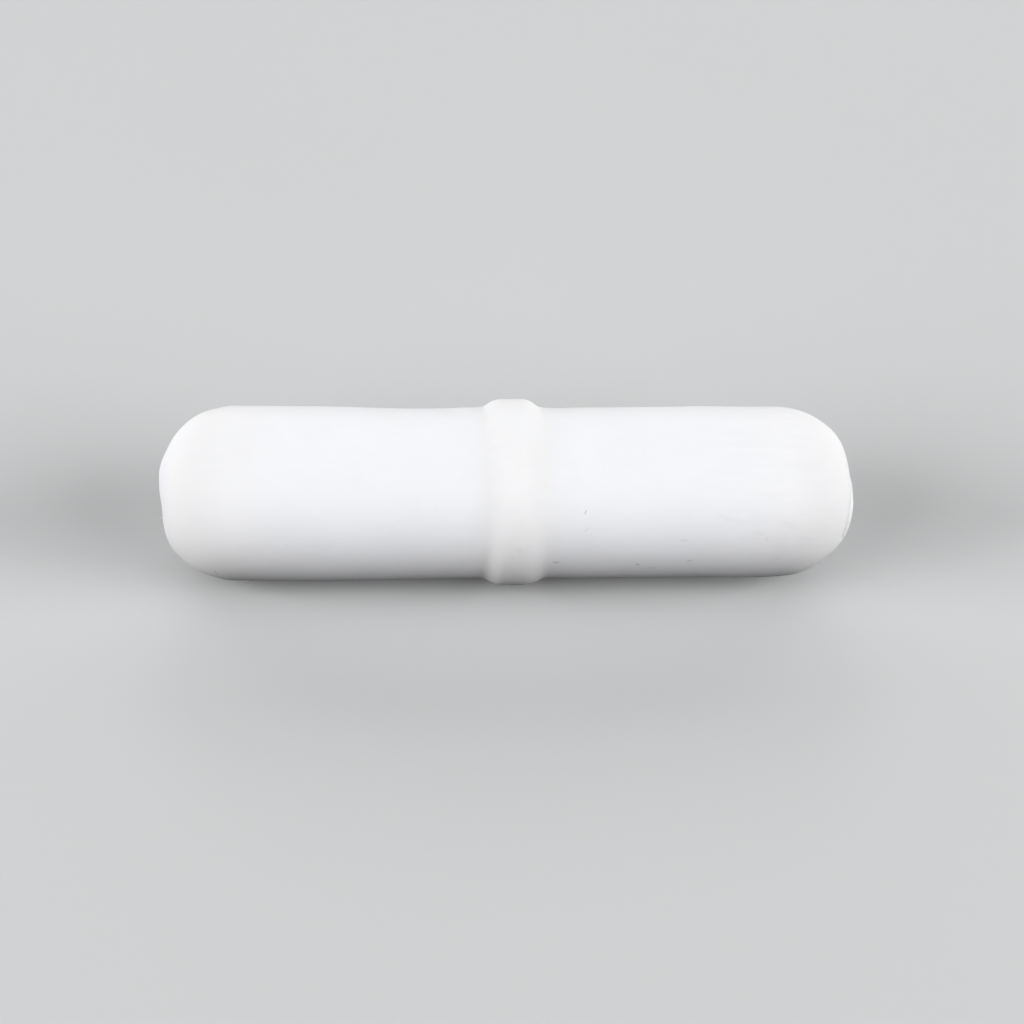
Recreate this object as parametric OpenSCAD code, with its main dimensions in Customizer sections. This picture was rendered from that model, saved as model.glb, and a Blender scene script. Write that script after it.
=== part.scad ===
// Magnetic stir bar with a pivot ring.
// A cast magnet rod is sealed inside one seamless moulded jacket. The jacket has
// rounded noses, each with the low nub that its mould leaves, and a raised ring near
// the middle, on which the bar pivots as it spins.
// The bar lies along X. The origin is on its axis, at the middle of the ring.

/* [Barrel] */
// Length over both noses
bar_length = 38.1; // [36:0.1:60]
// Diameter of the barrel
barrel_d = 9.38; // [9:0.02:9.56]
// Diameter at the left end, where the moulding came out a little fuller
left_end_d = 9.57; // [9.4:0.01:10]
// Distance from the ring at which the fuller left end begins to taper
left_taper_from = 11.8; // [9:0.1:13]
// Distance from the ring at which it is down to the barrel's diameter
left_taper_to = 5; // [3:0.1:8]

/* [Noses] */
// Radius of the round between the barrel and the left nose
left_nose_r = 3.9; // [3.85:0.05:4.4]
// Radius of the round between the barrel and the right nose
right_nose_r = 4.05; // [3.85:0.05:4.4]
// Radius of the domed nub on each nose
nub_r = 3.8; // [3:0.1:3.9]
// How far the left nub stands out of its nose
left_nub_proud = 0.14; // [0.05:0.01:0.3]
// How far the right nub stands out of its nose
right_nub_proud = 0.2; // [0.05:0.01:0.3]
// Distance of the left nub from the bar's axis
left_nub_off = 0.68; // [0:0.02:0.8]
// Distance of the right nub from the axis, on the other side of it
right_nub_off = 0.64; // [0:0.02:0.8]
// Turn of the two nubs about the axis, from upright
nub_turn = 40; // [0:5:355]

/* [Pivot ring] */
// Diameter of the ring
ring_d = 10.22; // [9.8:0.02:11]
// Width of the cylindrical land on top of the ring
ring_land = 1.1; // [0.6:0.1:3]
// Radius of the ring's rounded shoulders
shoulder_r = 1.3; // [0.8:0.05:2]
// Radius of the fillets at the ring's feet
foot_r = 0.5; // [0.3:0.05:1.2]
// Distance of the ring from the middle of the bar
ring_off_middle = 0.29; // [0:0.01:2]

/* [Magnet] */
// Diameter of the magnet rod
magnet_d = 6; // [4:0.1:6.6]
// Length of the magnet rod
magnet_length = 32; // [24:0.5:33]
// Chamfer around each end of the magnet
magnet_chamfer = 0.4; // [0.1:0.1:1]

/* [Hidden] */
$fn = 96;

barrel_r = barrel_d / 2;
left_end_r = left_end_d / 2;
ring_r = ring_d / 2;

// Distances along the axis, from the ring, of the bar's middle and both tips
middle = -ring_off_middle;
left_tip = middle - bar_length / 2;
right_tip = middle + bar_length / 2;

// Each flank of the ring is two arcs that meet at one slope: a shoulder and a foot
ring_height = ring_r - barrel_r;
flank_slope = acos(1 - ring_height / (shoulder_r + foot_r));
shoulder_from = ring_land / 2;
shoulder_to = shoulder_from + shoulder_r * sin(flank_slope);
foot_to = shoulder_to + foot_r * sin(flank_slope);
flank_meets_r = ring_r - shoulder_r * (1 - cos(flank_slope));

// Outlines are drawn as [radius, distance along the axis]; this turns them about X
module turned() {
    rotate([0, 90, 0]) rotate_extrude() children();
}

// Half outline of a barrel of radius r that ends at `reach` in a round of nose_r
module barrel_with_nose(r, from, reach, nose_r) {
    translate([0, from]) square([r, reach - nose_r - from]);
    translate([0, from]) square([r - nose_r, reach - from]);
    intersection() {
        translate([r - nose_r, reach - nose_r]) circle(nose_r);
        translate([0, from]) square([r, reach]);
    }
}

// The ring's section, from the axis out: the feet are cut back by their fillets
module ring_section() {
    difference() {
        polygon([
            [0, -foot_to], [barrel_r, -foot_to], [flank_meets_r, -shoulder_to],
            [flank_meets_r, shoulder_to], [barrel_r, foot_to], [0, foot_to]
        ]);
        for (side = [-1, 1])
            translate([barrel_r + foot_r, side * foot_to]) circle(foot_r);
    }
    for (side = [-1, 1])
        translate([ring_r - shoulder_r, side * shoulder_from]) circle(shoulder_r);
    translate([0, -shoulder_from]) square([ring_r, ring_land]);
}

// Half of the jacket's outline, nose to nose, with the left end's gentle taper
module jacket_section() {
    barrel_with_nose(barrel_r, 0, right_tip - right_nub_proud, right_nose_r);
    mirror([0, 1])
        barrel_with_nose(left_end_r, left_taper_from, -left_tip - left_nub_proud, left_nose_r);
    polygon([
        [0, 0], [barrel_r, 0], [barrel_r, -left_taper_to],
        [left_end_r, -left_taper_from], [0, -left_taper_from]
    ]);
    ring_section();
}

// A nub whose top is at `tip` on the axis line, `off` to one side of it
module nub(tip, inward, off) {
    rotate([-nub_turn, 0, 0])
        translate([tip + inward * nub_r, 0, off])
        sphere(nub_r);
}

// The magnet's form, which is also the cavity that the jacket is moulded around
module magnet_form() {
    half = magnet_length / 2;
    r = magnet_d / 2;
    c = magnet_chamfer;
    translate([middle, 0, 0])
        turned()
        polygon([
            [0, -half], [r - c, -half], [r, c - half],
            [r, half - c], [r - c, half], [0, half]
        ]);
}

module jacket() {
    color("white")
    difference() {
        union() {
            turned() jacket_section();
            nub(left_tip, 1, left_nub_off);
            nub(right_tip, -1, -right_nub_off);
        }
        magnet_form();
    }
}

module magnet() {
    color("dimgray") magnet_form();
}

jacket();
magnet();
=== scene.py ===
import math

import bpy
import numpy as np
from mathutils import Matrix, Vector, noise


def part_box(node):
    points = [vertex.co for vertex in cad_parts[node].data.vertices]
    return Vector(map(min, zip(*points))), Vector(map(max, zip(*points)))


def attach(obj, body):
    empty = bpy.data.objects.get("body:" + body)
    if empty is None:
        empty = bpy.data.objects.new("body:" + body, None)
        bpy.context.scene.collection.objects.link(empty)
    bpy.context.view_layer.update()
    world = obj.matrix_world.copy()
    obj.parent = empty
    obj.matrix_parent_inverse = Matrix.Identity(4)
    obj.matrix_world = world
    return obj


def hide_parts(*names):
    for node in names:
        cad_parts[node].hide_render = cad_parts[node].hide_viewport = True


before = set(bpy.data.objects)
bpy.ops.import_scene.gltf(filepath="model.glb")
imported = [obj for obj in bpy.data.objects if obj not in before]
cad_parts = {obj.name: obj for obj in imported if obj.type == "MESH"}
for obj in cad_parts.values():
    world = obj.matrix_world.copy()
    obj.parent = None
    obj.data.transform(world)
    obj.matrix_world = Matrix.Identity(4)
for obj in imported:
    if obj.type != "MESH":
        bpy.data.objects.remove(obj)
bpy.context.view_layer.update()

MM = 0.001
# Keeps a division by a length or a weight of nothing safe
TINY = 1e-12

# The camera looks down on the bar from in front and a little from its left end. UP is up in its
# picture, and FRONT is the way that the bar faces it.
VIEW_ELEVATION, VIEW_YAW = math.radians(40), math.radians(3.2)
AXIS = np.array([1.0, 0.0, 0.0])
UP = np.array([0.0, math.sin(VIEW_ELEVATION), math.cos(VIEW_ELEVATION)])
FRONT = np.array([0.0, -math.cos(VIEW_ELEVATION), math.sin(VIEW_ELEVATION)])

# ---- Sizes of the jacket -------------------------------------------------------------------
low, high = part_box("jacket")
LEFT_TIP, RIGHT_TIP, RING_R = low.x, high.x, high.z
FLOOR_Z = low.z
BARREL_R = 4.69 * MM
LEFT_END_R = 4.785 * MM
TAPER_FROM, TAPER_TO = -11.8 * MM, -5 * MM
LEFT_NOSE_R, RIGHT_NOSE_R = 3.9 * MM, 4.05 * MM
LEFT_NUB_PROUD, RIGHT_NUB_PROUD = 0.14 * MM, 0.2 * MM
# The nubs: (up from the axis, in front of it, radius, width of the edge above, width of it
# below, depth of the groove at the foot of the lower edge)
LEFT_NUB = (0.72 * MM, 0, 1.15 * MM, 1.5 * MM, 1.5 * MM, 0)
RIGHT_NUB = (-1.05 * MM, -0.6 * MM, 1.5 * MM, 1.2 * MM, 0.18 * MM, 0.035 * MM)
GROOVE_WIDTH = 0.09 * MM
RING_LAND = 1.1 * MM
SHOULDER_R, FOOT_R = 1.3 * MM, 0.5 * MM
magnet_low, magnet_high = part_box("magnet")
MAGNET_LEFT, MAGNET_RIGHT, MAGNET_R = magnet_low.x, magnet_high.x, magnet_high.z
MAGNET_CHAMFER = 0.4 * MM

# How finely the jacket's skin is divided
NOSE_STEP, RING_STEP, BARREL_STEP = 0.065 * MM, 0.08 * MM, 0.2 * MM
AROUND = 192
CAVITY_AROUND = 96

# The moulding isn't quite straight or even: (distance along the axis, offset), in millimetres
BOW = [(-16, 0), (-12, -0.04), (-5, -0.08), (-2.2, -0.04), (-1.2, 0), (1.2, 0), (2.2, -0.05),
       (8, -0.027), (10.5, 0), (13, -0.025), (15, 0)]
SWELL = [(-12, 0), (-10, 0.01), (-3.5, -0.012), (-2.3, 0.01), (-1.2, 0), (1.2, 0),
         (2.2, -0.027), (4.2, 0)]
# The ring's right flank leans: it lies this much to the left at the picture's top, and as much
# to the right at its bottom
LEAN = [(0.4, 0), (1.4, 0.1), (2.8, 0)]
# The ring is softer towards SOFT_SIDE, in front and a little below, than at the picture's top.
# There its left and right halves are evened out over a width each, within SOFT_REACH of its
# middle, and it is narrower by the factor SOFT_PINCH. SOFT_SPREAD carries this further round
# the bar than the quarter turn to each side that it would reach without it.
SOFT_LEFT, SOFT_RIGHT, SOFT_REACH = 0.4 * MM, 0.55 * MM, 3.2 * MM
SOFT_PINCH = 1.08
SOFT_SPREAD = 0.3
SOFT_SIDE = 0.98 * FRONT - 0.17 * UP
# Low swellings of the outline, and hollows where the height is negative: (x, up, radius,
# height), in millimetres
LUMPS = [(17.95, 2.9, 1.3, 0.115), (15.2, 4.6, 0.9, -0.035), (18.75, 0.45, 0.65, 0.1),
         (17.95, -3.0, 0.6, 0.12), (14.9, -4.62, 0.6, -0.04), (18.1, -2.56, 0.2, 0.14),
         (-18.75, -2.8, 0.9, 0.055), (-16.5, -4.5, 0.6, -0.08), (-16.2, 4.65, 0.7, -0.055),
         (-19.2, -0.9, 1.1, -0.035)]
# Curls of flash on the outline: (x, up, direction along x, direction up, length, width), the
# places and sizes in millimetres
WHISKERS = [(-14.55, -4.72, -0.25, -1, 0.24, 0.1), (-7.42, -4.66, 0.2, -1, 0.12, 0.06),
            (-19.1, -1.31, -1, -0.2, 0.18, 0.04)]
WHISKER_AROUND, WHISKER_ROWS = 10, 9
WHISKER_CURL, WHISKER_FLATNESS = 0.35, 0.6

# Unevenness of the skin: (wavelength, depth)
RIPPLES = [(5 * MM, 0.02 * MM), (1.6 * MM, 0.005 * MM), (0.6 * MM, 0.002 * MM)]


# ---- The jacket's outline, as rows of (x, r) from the left tip to the right ----------------
def line(start, end, spacing):
    """Points of a straight stretch, both ends included."""
    count = max(2, round(math.dist(start, end) / spacing) + 1)
    return np.linspace(start, end, count)


def arc(centre, radius, start, end, spacing):
    """Points of a round stretch, its angles in degrees from +X towards +r."""
    count = max(3, round(math.radians(abs(end - start)) * radius / spacing) + 1)
    angles = np.radians(np.linspace(start, end, count))
    x = centre[0] + radius * np.cos(angles)
    r = centre[1] + radius * np.sin(angles)
    return np.column_stack([x, r])


def chain(*stretches):
    """Stretches end to end, with each shared point kept once."""
    return np.vstack([stretch[:-1] for stretch in stretches[:-1]] + [stretches[-1]])


def mirrored(stretch):
    return (stretch * [-1, 1])[::-1]


def smooth(t):
    t = np.clip(t, 0, 1)
    return t * t * (3 - 2 * t)


def taper():
    """The gentle slope from the fuller left end down to the barrel."""
    stretch = line((TAPER_FROM, LEFT_END_R), (TAPER_TO, LEFT_END_R), BARREL_STEP)
    share = smooth((stretch[:, 0] - TAPER_FROM) / (TAPER_TO - TAPER_FROM))
    stretch[:, 1] += (BARREL_R - LEFT_END_R) * share
    return stretch


def ring_flank():
    """The ring's left flank: a hollow foot, then a round shoulder, which meet at one slope."""
    slope = math.degrees(math.acos(1 - (RING_R - BARREL_R) / (SHOULDER_R + FOOT_R)))
    shoulder_at = -RING_LAND / 2
    foot_at = shoulder_at - (SHOULDER_R + FOOT_R) * math.sin(math.radians(slope))
    return chain(
        arc((foot_at, BARREL_R + FOOT_R), FOOT_R, -90, slope - 90, RING_STEP),
        arc((shoulder_at, RING_R - SHOULDER_R), SHOULDER_R, 90 + slope, 90, RING_STEP),
    )


def jacket_outline():
    left, right = LEFT_TIP + LEFT_NUB_PROUD, RIGHT_TIP - RIGHT_NUB_PROUD
    left_centre = (left + LEFT_NOSE_R, LEFT_END_R - LEFT_NOSE_R)
    right_centre = (right - RIGHT_NOSE_R, BARREL_R - RIGHT_NOSE_R)
    flank = ring_flank()
    foot = flank[0, 0]
    return chain(
        line((left, 0), (left, left_centre[1]), NOSE_STEP),
        arc(left_centre, LEFT_NOSE_R, 180, 90, NOSE_STEP),
        line((left_centre[0], LEFT_END_R), (TAPER_FROM, LEFT_END_R), BARREL_STEP),
        taper(),
        line((TAPER_TO, BARREL_R), (foot, BARREL_R), BARREL_STEP),
        flank,
        line(flank[-1], flank[-1] * [-1, 1], RING_STEP),
        mirrored(flank),
        line((-foot, BARREL_R), (right_centre[0], BARREL_R), BARREL_STEP),
        arc(right_centre, RIGHT_NOSE_R, 90, 0, NOSE_STEP),
        line((right, right_centre[1]), (right, 0), NOSE_STEP),
    )


def magnet_outline():
    left, right, r, c = MAGNET_LEFT, MAGNET_RIGHT, MAGNET_R, MAGNET_CHAMFER
    left_end = [(left, 0), (left, r - c), (left + c, r)]
    right_end = [(right - c, r), (right, r - c), (right, 0)]
    return np.array(left_end + right_end)


# ---- Skins: closed surfaces made of a pole, rings of points and a pole ----------------------
def turned(outline, around):
    """The outline turned about X, as an array of rows of points."""
    angles = np.linspace(0, 2 * math.pi, around, endpoint=False)
    x = np.repeat(outline[:, :1], around, axis=1)
    return np.stack([x, outline[:, 1:] * np.cos(angles), outline[:, 1:] * np.sin(angles)], axis=2)


def skin(rows, inside_out=False):
    """Vertices and faces of a closed skin, whose first and last rows are poles."""
    count, around = len(rows), rows.shape[1]
    vertices = np.vstack([rows[0, :1], rows[1:-1].reshape(-1, 3), rows[-1, :1]])
    last = len(vertices) - 1
    here = np.arange(around)
    there = np.roll(here, -1)
    faces = [(0, 1 + a, 1 + b) for a, b in zip(there, here)]
    for row in range(count - 3):
        near, far = 1 + row * around, 1 + (row + 1) * around
        faces += [(near + a, near + b, far + b, far + a) for a, b in zip(here, there)]
    end = 1 + (count - 3) * around
    faces += [(last, end + a, end + b) for a, b in zip(here, there)]
    if inside_out:
        faces = [face[::-1] for face in faces]
    return vertices, [tuple(int(i) for i in face) for face in faces]


def joined(skins):
    vertices, faces = [], []
    for points, polygons in skins:
        start = sum(len(v) for v in vertices)
        vertices.append(points)
        faces += [tuple(start + i for i in face) for face in polygons]
    return np.vstack(vertices), faces


def eased(x, stations):
    """A smooth curve through stations given in millimetres, read at x."""
    places, values = (np.array(column) * MM for column in zip(*stations))
    i = np.clip(np.searchsorted(places, x) - 1, 0, len(places) - 2)
    share = smooth((x - places[i]) / (places[i + 1] - places[i]))
    return values[i] + (values[i + 1] - values[i]) * share


def raise_nub(rows, side, proud, nub):
    """Raises a round nub beside the axis, on the nose at one side of the bar, -1 or 1."""
    up, front, radius, edge_above, edge_below, groove = nub
    away = rows - up * UP - front * FRONT
    apart = np.linalg.norm(away[:, :, 1:], axis=2)
    above = smooth(away @ UP / radius)
    edge = edge_below + (edge_above - edge_below) * above
    beyond = (apart - radius - edge / 2) / GROOVE_WIDTH - 0.5
    rise = proud * smooth((radius - apart) / edge + 0.5) - groove * (1 - above) * np.exp(-(beyond**2))
    rows[:, :, 0] += np.where(side * rows[:, :, 0] > 0, side * rise, 0)


def lumps(rows):
    """How far the swellings and hollows raise each point of the skin."""
    height = np.zeros(rows.shape[:2])
    for x, up, radius, swelling in LUMPS:
        centre = x * MM * AXIS + up * MM * UP
        squared = ((rows - centre) ** 2).sum(axis=2)
        height += swelling * MM * np.exp(-squared / (radius * MM) ** 2)
    return height


def softening(outline):
    """How far the outline rises where the ring is made softer, and a little narrower."""
    x, r = outline.T
    width = SOFT_LEFT + (SOFT_RIGHT - SOFT_LEFT) * smooth(x / RING_LAND + 0.5)
    apart = (SOFT_PINCH * x[:, None] - x) / width[:, None]
    weight = np.exp(-(apart**2)) * np.gradient(x)
    even = (weight @ r) / np.maximum(weight.sum(axis=1), TINY)
    return (even - r) * smooth((SOFT_REACH - abs(x)) / MM)


def outward(outline):
    """Unit normals of the outline, as (x, r)."""
    along = np.gradient(outline, axis=0)
    normals = np.column_stack([-along[:, 1], along[:, 0]])
    return normals / np.linalg.norm(normals, axis=1, keepdims=True)


def ripple(point):
    """How far the skin lies above its ideal form at a point."""
    return sum(depth * noise.noise(point / length) for length, depth in RIPPLES)


def kept_in_box(rows):
    """Presses back what stands out of the ring's or the noses' true size."""
    r = np.maximum(np.linalg.norm(rows[:, :, 1:], axis=2, keepdims=True), TINY)
    rows[:, :, 1:] *= np.minimum(r, RING_R) / r
    rows[:, :, 0] = np.clip(rows[:, :, 0], LEFT_TIP, RIGHT_TIP)


def jacket_skin():
    outline = jacket_outline()
    swell = eased(outline[:, 0], SWELL)
    rows = turned(np.column_stack([outline[:, 0], outline[:, 1] + swell]), AROUND)
    raise_nub(rows, -1, LEFT_NUB_PROUD, LEFT_NUB)
    raise_nub(rows, 1, RIGHT_NUB_PROUD, RIGHT_NUB)
    height = np.array([[ripple(Vector(point)) for point in row] for row in rows])
    height += lumps(rows)
    height += softening(outline)[:, None] * smooth(SOFT_SPREAD + rows @ SOFT_SIDE / RING_R)
    rows += turned(outward(outline), AROUND) * height[:, :, None]
    rows[:, :, 0] -= eased(rows[:, :, 0], LEAN) * (rows @ UP) / RING_R
    rows += eased(rows[:, :, :1], BOW) * UP
    kept_in_box(rows)
    return skin(rows)


def whisker_skin(root, direction, bend, length, width):
    """A thin curl of flash: a closed thread that leaves the skin, bends over and tapers."""
    direction = np.array(direction) / np.linalg.norm(direction)
    bend = np.array(bend) - np.dot(bend, direction) * direction
    bend /= np.linalg.norm(bend)
    side = np.cross(direction, bend)
    angles = np.linspace(0, 2 * math.pi, WHISKER_AROUND, endpoint=False)
    ring = np.cos(angles)[:, None] * bend + WHISKER_FLATNESS * np.sin(angles)[:, None] * side
    rows = []
    for share in np.linspace(0, 1, WHISKER_ROWS):
        middle = root + length * (share * direction + WHISKER_CURL * share**2 * bend)
        thickness = width * math.sqrt(1 - share) if share > 0 else 0
        rows.append(middle + thickness * ring)
    return skin(np.array(rows))


def whiskers():
    """Flash left by the mould, where the bar's outline shows it."""
    made = []
    for x, up, along, across, length, width in WHISKERS:
        root = x * MM * AXIS + up * MM * UP
        outer = along * AXIS + across * UP
        made.append(whisker_skin(root, outer, AXIS - UP, length * MM, width * MM))
    return made


def cavity_skin():
    return skin(turned(magnet_outline(), CAVITY_AROUND), inside_out=True)


# ---- Pieces ---------------------------------------------------------------------------------
def new_mesh(name, vertices, faces):
    mesh = bpy.data.meshes.new(name)
    mesh.from_pydata(vertices.tolist(), [], faces)
    mesh.validate()
    mesh.shade_smooth()
    piece = bpy.data.objects.new(name, mesh)
    bpy.context.scene.collection.objects.link(piece)
    return piece


def make_jacket():
    piece = new_mesh("moulded_jacket", *joined([jacket_skin(), cavity_skin()] + whiskers()))
    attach(piece, "root")
    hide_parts("jacket")
    return piece


# ---- Materials ------------------------------------------------------------------------------
PTFE_COOL = (0.863, 0.87, 0.9, 1)
PTFE_NEUTRAL = (0.872, 0.872, 0.884, 1)
PTFE_LEFT_TIP = (0.856, 0.856, 0.9, 1)
PTFE_ROUGHNESS = 0.76
PTFE_IOR, PTFE_GLOSS = 1.35, 0.35
# How deep light goes into the skin before it comes out again: red, green, blue
PTFE_DEPTH = (0.6 * MM, 0.58 * MM, 0.56 * MM)
# Colour of the marks and specks, and of the painted shade in the right nub's groove
DIRT_AND_SHADE = (0.22, 0.21, 0.22, 1)
# Painted highlight: the paler colour laid on the lips beside scratches and on the right nub's rim
PTFE_PAINTED_HIGHLIGHT = (0.96, 0.96, 0.965, 1)
# Marks on the jacket: (x, up in the camera's picture, length, width, slant, depth), in millimetres
# and degrees. Scratches are cut into the skin, lips stand raised beside them and carry a painted
# highlight in a paler colour, and smudges lie on the skin.
SCRATCHES = [(3.78, -1.12, 0.36, 0.08, 64, 0.48), (3.81, -2.09, 0.38, 0.07, 61, 0.2),
             (3.93, -2.06, 0.36, 0.06, 56, 0.16), (2.26, -3.83, 0.58, 0.25, 4, 0.3),
             (6.74, -3.97, 0.24, 0.24, 0, 0.42), (9.56, -3.78, 0.5, 0.12, 16, 0.42),
             (13.69, -2.6, 0.44, 0.08, -49, 0.09), (13.7, -2.59, 0.43, 0.08, 57, 0.09),
             (12.71, -3.72, 0.2, 0.08, 10, 0.18), (14.35, -3.67, 0.3, 0.12, 0, 0.14),
             (-16.26, -4.38, 0.85, 0.09, -73, 0.34)]
HIGHLIGHTED_LIPS = [(3.87, -1.15, 0.34, 0.1, 63, 1.0), (3.97, -2.2, 0.36, 0.08, 56, 0.8)]
SMUDGES = [(7.54, -4.15, 0.8, 0.35, 5, 0.1), (9.21, -2.67, 0.7, 0.28, 0, 0.1),
           (11.6, -1.49, 2.4, 0.5, -16, 0.04), (14.89, -1.84, 1.8, 0.65, -25, 0.05),
           (13.27, -2.27, 0.95, 0.35, -22, 0.035), (15.92, -2.75, 1.3, 0.45, -28, 0.035),
           (3.23, -1.01, 0.55, 0.14, 6, 0.035), (-0.23, -1.0, 0.4, 0.16, 6, 0.03),
           (-0.56, -0.1, 0.2, 0.14, 0, 0.04), (0.2, -2.94, 0.6, 0.3, 7, 0.06),
           (-0.2, -3.3, 0.4, 0.25, 0, 0.04)]
# Marks on the sides that the photo doesn't show, as on the side it does: degrees about the axis,
# from level in front upwards, stand in place of the height in the picture.
HIDDEN_SCRATCHES = [(-12.6, 138, 0.45, 0.09, 32, 0.3), (-7.9, 161, 0.5, 0.2, -6, 0.22),
                    (5.3, 124, 0.38, 0.08, -58, 0.3), (9.8, 152, 0.26, 0.22, 0, 0.3),
                    (14.1, -166, 0.55, 0.11, 21, 0.28), (-4.4, -171, 0.34, 0.09, 64, 0.25),
                    (3.4, -150, 0.5, 0.12, -12, 0.25), (-10.2, -120, 0.6, 0.12, 15, 0.3)]
HIDDEN_SMUDGES = [(-14.8, 149, 1.6, 0.5, -20, 0.05), (7.2, 168, 1.1, 0.4, 12, 0.07),
                  (12.3, 131, 2.0, 0.6, -16, 0.05), (-6, 133, 0.7, 0.3, 0, 0.06),
                  (0.3, 158, 0.5, 0.25, 7, 0.05), (1, -140, 0.8, 0.4, 0, 0.06)]
# The right nub's rim, which carries a painted highlight, and the painted shade in the groove around
# it: (beyond the nub's radius, half the width), in millimetres, and how deep the painted shade is
# below and above the nub
NUB_HIGHLIGHT_BAND, NUB_SHADE_BAND = (-0.05, 0.13), (0.15, 0.18)
GROOVE_SHADE_BELOW, GROOVE_SHADE_ABOVE = 0.21, 0.07
# Places along the axis, in millimetres from the ring: (where each begins, where it is full).
# AT_RING and STREAKED lie to both sides of the ring.
AT_RING, LEFT_NOSE, RIGHT_NOSE = (2.6, 1.5), (-11.0, -17.5), (10.5, 17.0)
LEFT_TIP_SKIN, RIGHT_TIP_SKIN = (-18.7, -19.3), (17.0, 17.6)
STREAKED, STREAKED_MORE = (18.2, 15.8), (9.0, 13.5)
# How strong the streaks are outside STREAKED_MORE, and the factors of their features per
# millimetre along the axis and across it
STREAKED_LEAST, STREAK_STRETCH = 0.25, (0.35, 2.4, 1.0)
# Random patterns of the skin: (features per millimetre, octaves)
CLOUDS, MOTTLE, STREAKS = (0.22, 4.0), (1.7, 3.0), (1.0, 3.0)
GRAIN, MARK_EDGES = (9.0, 2.0), (14.0, 2.0)
# What patterns and marks add to the brightness, the roughness and the height in millimetres,
# and how uneven the marks are
CLOUD_TONE, MOTTLE_TONE, STREAK_TONE = 0.06, 0.022, 0.06
CLOUD_MATT, MOTTLE_MATT, DIRT_AND_SHADE_MATT = 0.2, 0.25, 0.25
GRAIN_HEIGHT, MOTTLE_HEIGHT, SCRATCH_HEIGHT, LIP_HEIGHT = 0.0012, 0.004, -0.03, 0.015
MARK_UNEVENNESS = 1.2
# Specks, each at the point of a cell of a random pattern: cells per millimetre, how far from
# the point the speck begins and is full, in cells, and the cell's random number at which it
# begins to show and is full
SPECK_CELLS, SPECK_EDGE, SPECK_CHOSEN = 0.55, (0.045, 0.02), (0.62, 0.95)
SPECK_DEPTH = 0.35
# The part of a mark's or a band's half width that has its full depth
MARK_CORE, BAND_CORE = 0.3, 0.1


def node(tree, kind, sockets=None, **settings):
    """Adds a node, with its sockets set to values or linked."""
    made = tree.nodes.new(kind)
    for name, value in settings.items():
        setattr(made, name, value)
    for name, value in (sockets or {}).items():
        if isinstance(value, bpy.types.NodeSocket):
            tree.links.new(value, made.inputs[name])
        else:
            made.inputs[name].default_value = value
    return made


def new_material(name):
    material = bpy.data.materials.new(name)
    material.use_nodes = True
    material.node_tree.nodes.clear()
    return material


def maths(tree, operation, *values):
    sockets = dict(enumerate(values))
    return node(tree, "ShaderNodeMath", sockets, operation=operation).outputs[0]


def vector(tree, operation, *values, result="Vector"):
    sockets = dict(enumerate(values))
    made = node(tree, "ShaderNodeVectorMath", sockets, operation=operation)
    return made.outputs[result]


def scaled(tree, value, factor):
    sockets = {0: value, "Scale": factor}
    return node(tree, "ShaderNodeVectorMath", sockets, operation="SCALE").outputs[0]


def times(tree, first, second):
    return maths(tree, "MULTIPLY", first, second)


def weighted(tree, total, *terms):
    """A number plus the given values, each times its weight."""
    for value, weight in terms:
        total = maths(tree, "MULTIPLY_ADD", value, weight, total)
    return total


def along_axis(tree, place):
    return node(tree, "ShaderNodeSeparateXYZ", {0: place}).outputs[0]


def step(tree, value, start, end):
    """A smooth step of a value from 0 at start to 1 at end."""
    limits = {"Value": value, "From Min": start, "From Max": end}
    return node(tree, "ShaderNodeMapRange", limits, interpolation_type="SMOOTHSTEP").outputs["Result"]


def mixed(tree, share, first, second):
    """A colour from the first to the second, as the share goes from 0 to 1."""
    sockets = {0: share, 6: first, 7: second}
    return node(tree, "ShaderNodeMix", sockets, data_type="RGBA").outputs[2]


def grained(tree, place, features, octaves):
    """Noise about 0, of the given features per millimetre."""
    sockets = {"Vector": place, "Scale": features, "Detail": octaves}
    made = node(tree, "ShaderNodeTexNoise", sockets)
    return maths(tree, "SUBTRACT", made.outputs[0], 0.5)


def in_millimetres(tree):
    return scaled(tree, node(tree, "ShaderNodeTexCoord").outputs["Object"], 1 / MM)


def wrapped(tree, place):
    """The barrel's skin laid flat: millimetres along the axis, and up from the line that faces
    the camera at rest."""
    axes = node(tree, "ShaderNodeSeparateXYZ", {0: place}).outputs
    turn = maths(tree, "ARCTAN2", axes[2], times(tree, axes[1], -1.0))
    up = times(tree, maths(tree, "SUBTRACT", turn, VIEW_ELEVATION), BARREL_R / MM)
    return node(tree, "ShaderNodeCombineXYZ", {0: axes[0], 1: up}).outputs[0]


def mark_group():
    """A node group: 1 inside a slanting oval of the flat skin, falling softly to 0."""
    group = bpy.data.node_groups.new("mark", "ShaderNodeTree")
    inputs = [("Skin", "NodeSocketVector"), ("Centre", "NodeSocketVector"),
              ("Slant", "NodeSocketFloat"), ("Size", "NodeSocketVector"),
              ("Depth", "NodeSocketFloat")]
    for name, kind in inputs:
        group.interface.new_socket(name, in_out="INPUT", socket_type=kind)
    group.interface.new_socket("Depth", in_out="OUTPUT", socket_type="NodeSocketFloat")
    given = node(group, "NodeGroupInput").outputs
    slant = times(group, given["Slant"], -1.0)
    turned_place = node(group, "ShaderNodeVectorRotate",
                        {"Vector": given["Skin"], "Center": given["Centre"], "Angle": slant},
                        rotation_type="Z_AXIS").outputs[0]
    apart = vector(group, "SUBTRACT", turned_place, given["Centre"])
    in_sizes = vector(group, "DIVIDE", apart, given["Size"])
    far = vector(group, "LENGTH", in_sizes, result="Value")
    depth = times(group, step(group, far, 1.0, MARK_CORE), given["Depth"])
    node(group, "NodeGroupOutput", {0: depth})
    return group


def seen(listed):
    """Marks placed by height in the picture, as marks placed by degrees about the axis."""
    placed = []
    for x, up, *rest in listed:
        turn = VIEW_ELEVATION + math.asin(up * MM / BARREL_R)
        placed.append((x, math.degrees(turn), *rest))
    return placed


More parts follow.
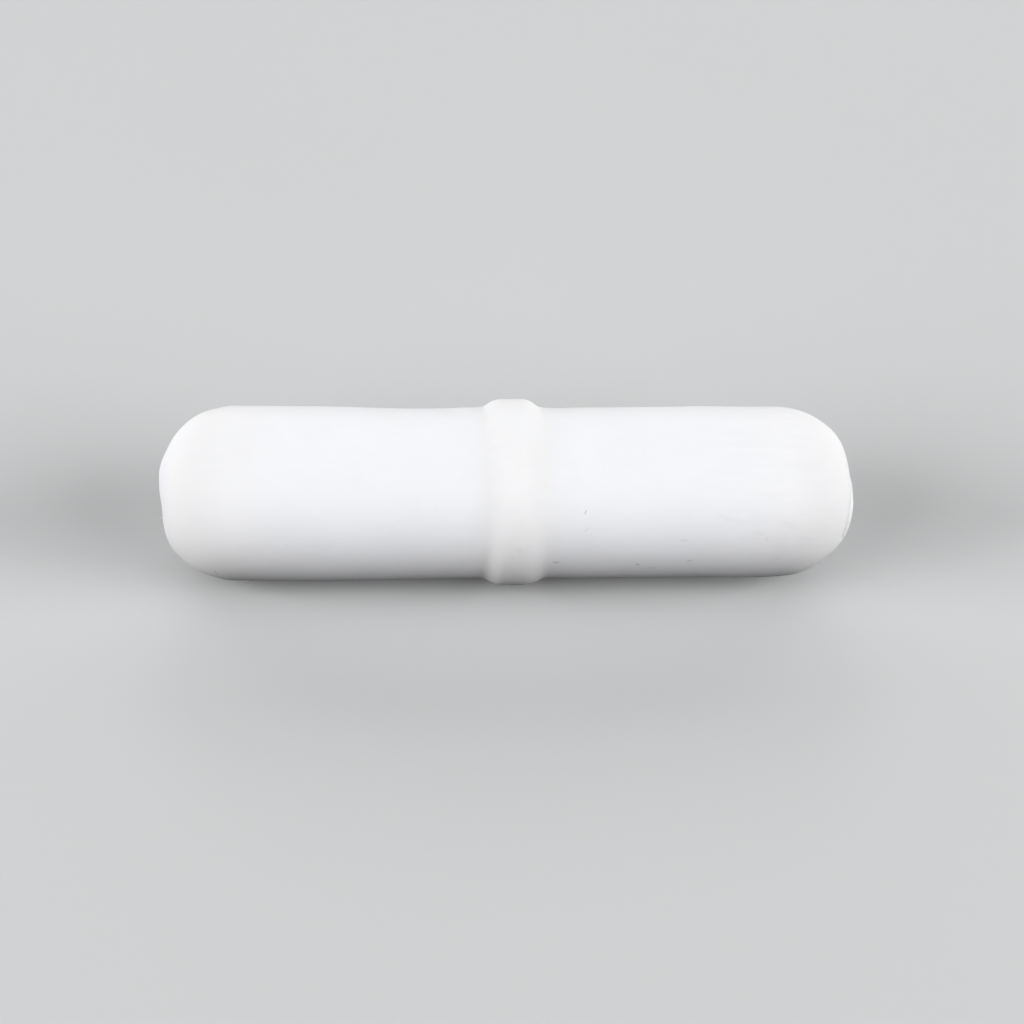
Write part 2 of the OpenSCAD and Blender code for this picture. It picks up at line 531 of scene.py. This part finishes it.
def marks(tree, skin_place, group, listed):
    """The deepest of the listed marks at each point of the skin."""
    deepest = None
    for x, turn, length, width, slant, full_depth in listed:
        up = (math.radians(turn) - VIEW_ELEVATION) * BARREL_R / MM
        made = node(tree, "ShaderNodeGroup", node_tree=group)
        tree.links.new(skin_place, made.inputs["Skin"])
        made.inputs["Centre"].default_value = (x, up, 0)
        made.inputs["Slant"].default_value = math.radians(slant)
        made.inputs["Size"].default_value = (length / 2, width / 2, 1)
        made.inputs["Depth"].default_value = full_depth
        depth = made.outputs[0]
        deepest = depth if deepest is None else maths(tree, "MAXIMUM", deepest, depth)
    return deepest


def band(tree, value, middle, half_width):
    """1 where a value is near the middle, falling to 0 at half the width to either side of it."""
    off = maths(tree, "ABSOLUTE", maths(tree, "SUBTRACT", value, middle))
    return step(tree, off, half_width, BAND_CORE * half_width)


def nub_highlight_and_shade(tree, place, along):
    """Painted highlight on the right nub's rim, and painted shade in the groove around it, deeper
    below the nub than above.
    """
    up, front, radius, *_ = RIGHT_NUB
    centre = ((up * UP + front * FRONT) / MM).tolist()
    away = vector(tree, "SUBTRACT", place, centre)
    across = vector(tree, "MULTIPLY", away, (0, 1, 1))
    apart = vector(tree, "LENGTH", across, result="Value")
    beyond = maths(tree, "SUBTRACT", apart, radius / MM)
    rise = vector(tree, "DOT_PRODUCT", away, UP.tolist(), result="Value")
    below = step(tree, rise, radius / MM, 0.0)
    depth = weighted(tree, GROOVE_SHADE_ABOVE, (below, GROOVE_SHADE_BELOW - GROOVE_SHADE_ABOVE))
    on_nose = step(tree, along, *RIGHT_TIP_SKIN)
    # Painted highlight on the rim and painted shade in the groove, on the right nose only
    rim_highlight = times(tree, band(tree, beyond, *NUB_HIGHLIGHT_BAND), on_nose)
    groove_shade = times(tree, band(tree, beyond, *NUB_SHADE_BAND), on_nose)
    return rim_highlight, times(tree, groove_shade, depth)


def tint(tree, along):
    """Cooler along the barrel than at ring and noses, and faintly lilac at the left tip."""
    at_ring = step(tree, maths(tree, "ABSOLUTE", along), *AT_RING)
    at_left, at_right = step(tree, along, *LEFT_NOSE), step(tree, along, *RIGHT_NOSE)
    neutral = maths(tree, "MAXIMUM", at_ring, maths(tree, "MAXIMUM", at_left, at_right))
    colour = mixed(tree, neutral, PTFE_COOL, PTFE_NEUTRAL)
    return mixed(tree, step(tree, along, *LEFT_TIP_SKIN), colour, PTFE_LEFT_TIP)


def streaks(tree, flat, along):
    """Fine streaks along the barrel, stronger to the right and gone at both tips."""
    made = grained(tree, vector(tree, "MULTIPLY", flat, STREAK_STRETCH), *STREAKS)
    off_tips = step(tree, maths(tree, "ABSOLUTE", along), *STREAKED)
    to_right = step(tree, along, *STREAKED_MORE)
    strength = weighted(tree, STREAKED_LEAST, (to_right, 1 - STREAKED_LEAST))
    return times(tree, times(tree, made, off_tips), strength)


def specks(tree, place):
    """1 in fine scattered specks, and 0 between them."""
    pattern = {"Vector": place, "Scale": SPECK_CELLS, "Randomness": 1.0}
    cells = node(tree, "ShaderNodeTexVoronoi", pattern)
    chosen = node(tree, "ShaderNodeSeparateColor", {0: cells.outputs["Color"]}).outputs[0]
    spot = step(tree, cells.outputs["Distance"], *SPECK_EDGE)
    return times(tree, spot, step(tree, chosen, *SPECK_CHOSEN))


def soiled_and_shaded(tree, place, scratches, smudges, groove_shade):
    """How dark the skin is made: its marks and the painted shade in the right nub's groove, with
    uneven edges, and its specks.
    """
    marks_and_shade = maths(tree, "ADD", maths(tree, "ADD", scratches, smudges), groove_shade)
    uneven = weighted(tree, 1.0, (grained(tree, place, *MARK_EDGES), MARK_UNEVENNESS))
    return weighted(tree, times(tree, marks_and_shade, uneven), (specks(tree, place), SPECK_DEPTH))


def ptfe():
    """White PTFE: waxy, matt and faintly cloudy, with the marks of use, painted highlights on the
    lips and the right nub's rim, and painted shade in the groove around that nub.
    """
    material = new_material("white_ptfe")
    tree = material.node_tree
    place = in_millimetres(tree)
    along = along_axis(tree, place)
    flat = wrapped(tree, place)
    clouds = grained(tree, place, *CLOUDS)
    mottle = grained(tree, place, *MOTTLE)

    group = mark_group()
    scratches = marks(tree, flat, group, seen(SCRATCHES) + HIDDEN_SCRATCHES)
    lips_and_highlights = marks(tree, flat, group, seen(HIGHLIGHTED_LIPS))
    smudges = marks(tree, flat, group, seen(SMUDGES) + HIDDEN_SMUDGES)
    rim_highlight, groove_shade = nub_highlight_and_shade(tree, place, along)
    dirt_and_shade = soiled_and_shaded(tree, place, scratches, smudges, groove_shade)

    # Painted highlight: paler colour on the lips beside scratches and on the right nub's rim
    colour = mixed(tree, maths(tree, "MAXIMUM", lips_and_highlights, rim_highlight), tint(tree, along), PTFE_PAINTED_HIGHLIGHT)
    # Darker with the marks and specks, and with the painted shade in the right nub's groove
    colour = mixed(tree, dirt_and_shade, colour, DIRT_AND_SHADE)
    tone = weighted(tree, 1.0, (clouds, CLOUD_TONE), (mottle, MOTTLE_TONE),
                    (streaks(tree, flat, along), STREAK_TONE))
    colour = scaled(tree, colour, tone)
    roughness = weighted(tree, PTFE_ROUGHNESS, (mottle, MOTTLE_MATT), (clouds, CLOUD_MATT),
                         (dirt_and_shade, DIRT_AND_SHADE_MATT))
    height = weighted(tree, 0.0, (grained(tree, place, *GRAIN), GRAIN_HEIGHT),
                      (mottle, MOTTLE_HEIGHT), (scratches, SCRATCH_HEIGHT), (lips_and_highlights, LIP_HEIGHT))
    bump = node(tree, "ShaderNodeBump", {"Height": height, "Distance": MM, "Strength": 1.0})

    shader = node(tree, "ShaderNodeBsdfPrincipled", {
        "Base Color": colour, "Roughness": roughness, "Normal": bump.outputs[0],
        "IOR": PTFE_IOR, "Specular IOR Level": PTFE_GLOSS,
        "Subsurface Weight": 1.0, "Subsurface Radius": PTFE_DEPTH, "Subsurface Scale": 1.0})
    node(tree, "ShaderNodeOutputMaterial", {"Surface": shader.outputs[0]})
    return material


ALNICO_DARK, ALNICO_PALE = (0.2, 0.196, 0.19, 1), (0.3, 0.294, 0.286, 1)
ALNICO_PIT, ALNICO_GROUND = (0.09, 0.087, 0.083, 1), (0.42, 0.415, 0.405, 1)
# The casting's grain and pits: (features per millimetre, octaves), the level of their pattern
# at which pits begin and are full, and heights in millimetres
CAST_GRAIN, CAST_PITS, PIT_LEVELS = (6.0, 4.0), (2.2, 3.0), (0.1, 0.22)
CAST_GRAIN_HEIGHT, CAST_PIT_HEIGHT, CAST_BUMP = 0.05, -0.08, 0.6
CAST_ROUGHNESS, CAST_GRAIN_MATT, GROUND_MATT, ALNICO_METAL = 0.62, 0.3, -0.27, 0.9
# How far within each end of the magnet its ground face begins and is full, in millimetres
GROUND_FROM, GROUND_TO = 0.05, 0.01


def cast_alnico():
    """The magnet: a dark casting with a pitted, grainy skin and ends ground flat."""
    material = new_material("cast_alnico")
    tree = material.node_tree
    place = in_millimetres(tree)
    grain = grained(tree, place, *CAST_GRAIN)
    pits = step(tree, grained(tree, place, *CAST_PITS), *PIT_LEVELS)
    middle = (MAGNET_LEFT + MAGNET_RIGHT) / 2 / MM
    reach = (MAGNET_RIGHT - MAGNET_LEFT) / 2 / MM
    off_middle = maths(tree, "ABSOLUTE", maths(tree, "SUBTRACT", along_axis(tree, place), middle))
    ground = step(tree, off_middle, reach - GROUND_FROM, reach - GROUND_TO)
    colour = mixed(tree, maths(tree, "ADD", grain, 0.5), ALNICO_DARK, ALNICO_PALE)
    colour = mixed(tree, pits, colour, ALNICO_PIT)
    colour = mixed(tree, ground, colour, ALNICO_GROUND)
    roughness = weighted(tree, CAST_ROUGHNESS, (grain, CAST_GRAIN_MATT), (ground, GROUND_MATT))
    height = weighted(tree, 0.0, (grain, CAST_GRAIN_HEIGHT), (pits, CAST_PIT_HEIGHT))
    bump = node(tree, "ShaderNodeBump", {"Height": height, "Distance": MM, "Strength": CAST_BUMP})
    shader = node(tree, "ShaderNodeBsdfPrincipled", {
        "Base Color": colour, "Roughness": roughness, "Metallic": ALNICO_METAL,
        "Normal": bump.outputs[0]})
    node(tree, "ShaderNodeOutputMaterial", {"Surface": shader.outputs[0]})
    return material


def shown_rays(tree):
    """1 for the rays that show a thing: seen directly, mirrored or through glass."""
    rays = node(tree, "ShaderNodeLightPath").outputs
    shown = maths(tree, "ADD", rays["Is Camera Ray"], rays["Is Glossy Ray"])
    return maths(tree, "MINIMUM", maths(tree, "ADD", shown, rays["Is Transmission Ray"]), 1.0)


FLOOR_PALE, FLOOR_GREY = (0.63, 0.635, 0.64, 1), (0.61, 0.615, 0.621, 1)
FLOOR_BOUNCE = (0.015, 0.015, 0.015, 1)
FLOOR_CLOUDS = (0.02, 3.0)


def floor_material():
    """Pale and very faintly uneven paper that throws little light back up."""
    material = new_material("studio_floor")
    tree = material.node_tree
    place = in_millimetres(tree)
    uneven = maths(tree, "ADD", grained(tree, place, *FLOOR_CLOUDS), 0.5)
    paper = mixed(tree, uneven, FLOOR_GREY, FLOOR_PALE)
    colour = mixed(tree, shown_rays(tree), FLOOR_BOUNCE, paper)
    shader = node(tree, "ShaderNodeBsdfDiffuse", {"Color": colour})
    node(tree, "ShaderNodeOutputMaterial", {"Surface": shader.outputs[0]})
    return material


# ---- Studio ---------------------------------------------------------------------------------
FLOOR_SIZE = 6.0
CAMERA_DISTANCE = 0.5
SENSOR = 36 * MM
FRAME_WIDTH = 56.2 * MM
AIM = 0.015 * MM * AXIS - 1.09 * MM * UP
CAMERA_ROLL = math.radians(0.18)
CLIP_NEAR, CLIP_FAR = 0.01, 20
# Soft lamps far away, a pair of each: (name, azimuth to each side, elevation, strength, angle).
# Azimuth 0 is behind the camera, and 90 to its right.
LAMPS = [("key", 50, 32, 1.14, 38), ("side", 75, 20, 1.87, 34), ("back", 160, 15, 1.3, 60)]
WORLD_LIGHT, WORLD_SEEN = (0.012, 0.012, 0.012, 1), (0.642, 0.648, 0.652, 1)


def make_floor():
    half = FLOOR_SIZE / 2
    corners = [(-half, -half, FLOOR_Z), (half, -half, FLOOR_Z),
               (half, half, FLOOR_Z), (-half, half, FLOOR_Z)]
    floor = new_mesh("floor", np.array(corners), [(0, 1, 2, 3)])
    floor.data.materials.append(floor_material())


def make_camera():
    camera = bpy.data.objects.new("camera", bpy.data.cameras.new("camera"))
    bpy.context.scene.collection.objects.link(camera)
    camera.data.sensor_width = SENSOR / MM
    camera.data.lens = SENSOR / MM * CAMERA_DISTANCE / FRAME_WIDTH
    camera.data.clip_start = CLIP_NEAR
    camera.data.clip_end = CLIP_FAR
    right = math.cos(VIEW_YAW) * AXIS + math.sin(VIEW_YAW) * FRONT
    back = math.cos(VIEW_YAW) * FRONT - math.sin(VIEW_YAW) * AXIS
    turn = Matrix((right, UP, back)).transposed().to_4x4() @ Matrix.Rotation(-CAMERA_ROLL, 4, "Z")
    camera.matrix_world = Matrix.Translation(AIM + CAMERA_DISTANCE * back) @ turn
    bpy.context.scene.camera = camera


def make_sun(name, azimuth, elevation, strength, angle):
    sun = bpy.data.objects.new(name, bpy.data.lights.new(name, "SUN"))
    sun.data.energy = strength
    sun.data.angle = math.radians(angle)
    a, e = math.radians(azimuth), math.radians(elevation)
    back = Vector((math.sin(a) * math.cos(e), -math.cos(a) * math.cos(e), math.sin(e)))
    sun.rotation_euler = back.to_track_quat("Z", "Y").to_euler()
    bpy.context.scene.collection.objects.link(sun)


def make_lamps():
    for side, side_name in ((-1, "left"), (1, "right")):
        for name, azimuth, *rest in LAMPS:
            make_sun(f"{name}_{side_name}", side * azimuth, *rest)


def make_world():
    world = bpy.data.worlds.new("studio")
    bpy.context.scene.world = world
    world.use_nodes = True
    tree = world.node_tree
    tree.nodes.clear()
    colour = mixed(tree, shown_rays(tree), WORLD_LIGHT, WORLD_SEEN)
    background = node(tree, "ShaderNodeBackground", {"Color": colour})
    node(tree, "ShaderNodeOutputWorld", {"Surface": background.outputs[0]})


jacket = make_jacket()
jacket.data.materials.append(ptfe())
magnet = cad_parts["magnet"]
magnet.data.materials.clear()
magnet.data.materials.append(cast_alnico())
make_floor()
make_camera()
make_lamps()
make_world()
bpy.context.scene.view_settings.view_transform = "Standard"
